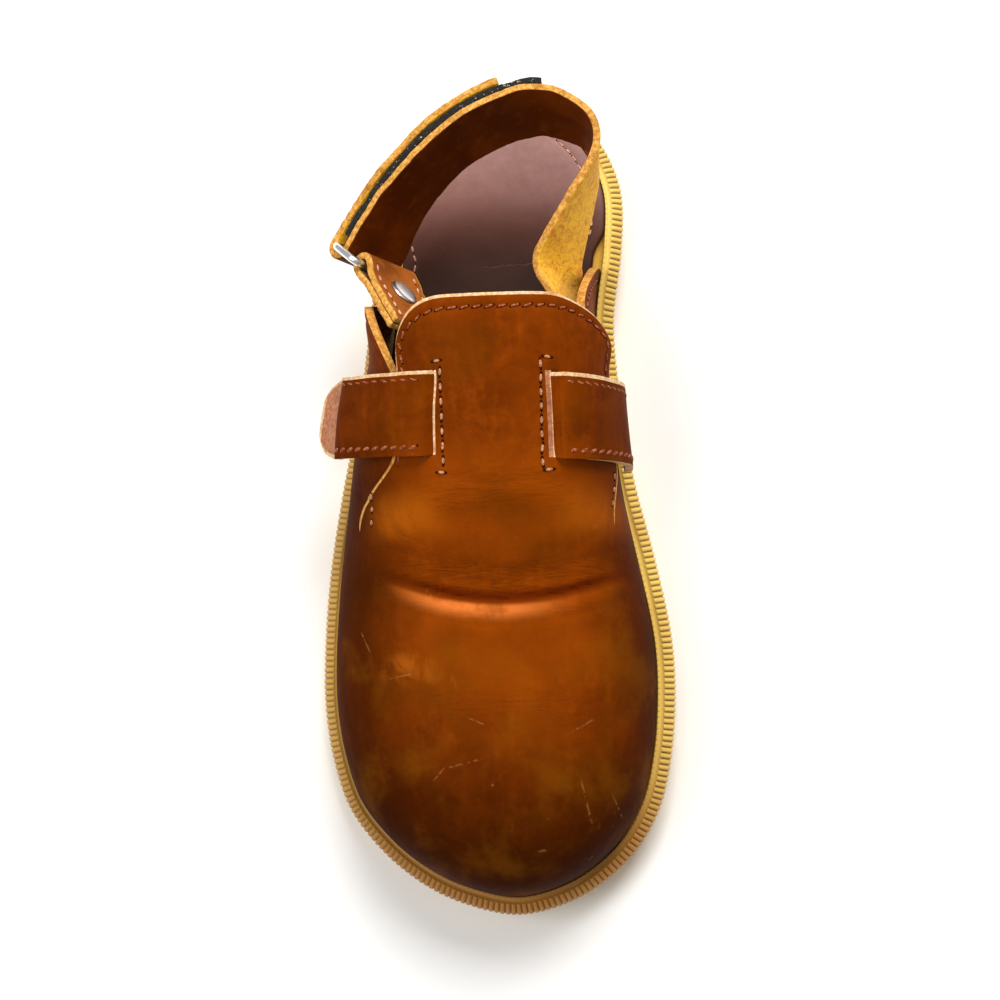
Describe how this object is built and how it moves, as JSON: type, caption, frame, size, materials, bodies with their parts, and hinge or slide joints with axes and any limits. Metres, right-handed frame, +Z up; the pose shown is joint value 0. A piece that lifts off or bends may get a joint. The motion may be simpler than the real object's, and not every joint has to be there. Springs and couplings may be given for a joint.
{
  "type": "leather slingback clog",
  "caption": "Child's closed-toe leather slingback clog for the right foot, with a rounded instep flap, a threaded instep strap and a heel strap that folds back through a metal ring.",
  "frame": {"origin": "middle of the bounding box's footprint, on the floor the shoe stands on", "axes": "+Y from heel to toe, +X to the outer (little-toe) side of the foot, +Z up"},
  "size_m": [0.0878, 0.206, 0.0658],
  "materials": {
    "sole_rubber": "satin honey-yellow rubber",
    "upper_leather": "waxed saddle-brown leather, soft gloss",
    "insole_leather": "smooth reddish-brown leather, slight gloss",
    "strap_leather": "oiled brown leather, suede back",
    "hook_fabric": "matt black hook-and-loop tape",
    "metal": "bright nickel plate"
  },
  "bodies": {
    "root": {"outsole": "sole_rubber", "welt": "sole_rubber", "upper": "upper_leather", "instep_strap": "upper_leather", "insole": "insole_leather", "heel_strap": "strap_leather", "ring_tab": "upper_leather", "hook_strip": "hook_fabric", "ring": "metal", "rivet_lateral": "metal", "rivet_medial": "metal"}
  },
  "joints": []
}
